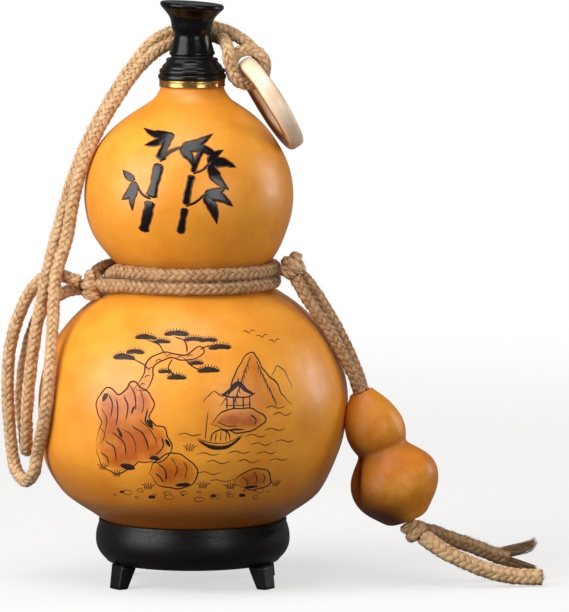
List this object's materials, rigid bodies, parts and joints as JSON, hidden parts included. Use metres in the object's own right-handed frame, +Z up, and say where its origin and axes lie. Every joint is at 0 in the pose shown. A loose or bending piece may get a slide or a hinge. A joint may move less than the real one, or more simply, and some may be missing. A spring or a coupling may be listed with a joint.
{
  "type": "gourd water bottle",
  "caption": "Double-bulbed dried gourd flask on a turned stand, with a corked stopper, cord winding, carrying strap, toggle ring and small gourd charm.",
  "frame": {"origin": "on the floor under the middle of the stand, which is the middle of the gourd", "axes": "+Z up through the gourd and its stopper, -Y towards the front, +X towards the side where the charm hangs"},
  "size_m": [0.2566, 0.147, 0.2764],
  "materials": {
    "stained_wood": "turned hardwood, black satin stain",
    "gourd_skin": "dried gourd shell, waxed to a soft gloss",
    "liner_resin": "moulded black resin, smooth",
    "brass": "polished brass",
    "black_lacquer": "black lacquer, high gloss",
    "peg_wood": "plain turned beech",
    "cork": "natural cork, fine pitted grain",
    "washer_rubber": "moulded silicone rubber",
    "ring_bone": "bone-white resin, polished",
    "jute_cord": "round braided jute cord",
    "charm_skin": "small dried gourd, waxed",
    "frayed_jute": "unravelled jute fibre"
  },
  "bodies": {
    "stand": {"stand_ring": "stained_wood", "leg_front_left": "stained_wood", "leg_front_right": "stained_wood", "leg_back_left": "stained_wood", "leg_back_right": "stained_wood"},
    "bottle": {"gourd_shell": "gourd_skin", "mouth_tube": "liner_resin", "brass_ferrule": "brass", "mouth_collar": "black_lacquer", "ring_hitch": "jute_cord", "strap_outer": "jute_cord", "strap_inner": "jute_cord", "waist_rope": "jute_cord", "knot_left": "jute_cord", "knot_right": "jute_cord", "pendant_cord_front": "jute_cord", "pendant_cord_back": "jute_cord", "charm_core_cord": "jute_cord", "charm_knot": "jute_cord", "tail_plain": "jute_cord", "tail_frayed": "frayed_jute", "frayed_end_upper": "frayed_jute", "frayed_end_lower": "frayed_jute"},
    "stopper": {"stopper_head": "black_lacquer", "stopper_peg": "peg_wood", "cork_plug": "cork", "seal_washer": "washer_rubber"},
    "toggle_ring": {"toggle_ring": "ring_bone"},
    "charm": {"charm_gourd": "charm_skin"}
  },
  "joints": [
    {"name": "bottle_lift", "type": "slide", "parent": "stand", "child": "bottle", "axis": [0, 0, 1], "range_m": [0, 0.05]},
    {"name": "stopper_lift", "type": "slide", "parent": "bottle", "child": "stopper", "axis": [0, 0, 1], "range_m": [0, 0.03]},
    {"name": "ring_swing", "type": "hinge", "parent": "bottle", "child": "toggle_ring", "pos_m": [0.0264, 0, 0.2462], "axis": [0.1334, -0.9877, 0.0817], "range_deg": [0, 50]},
    {"name": "charm_spin", "type": "hinge", "parent": "bottle", "child": "charm", "pos_m": [0.0802, -0.012, 0.0926], "axis": [-0.3354, 0, 0.9421], "continuous": true}
  ]
}
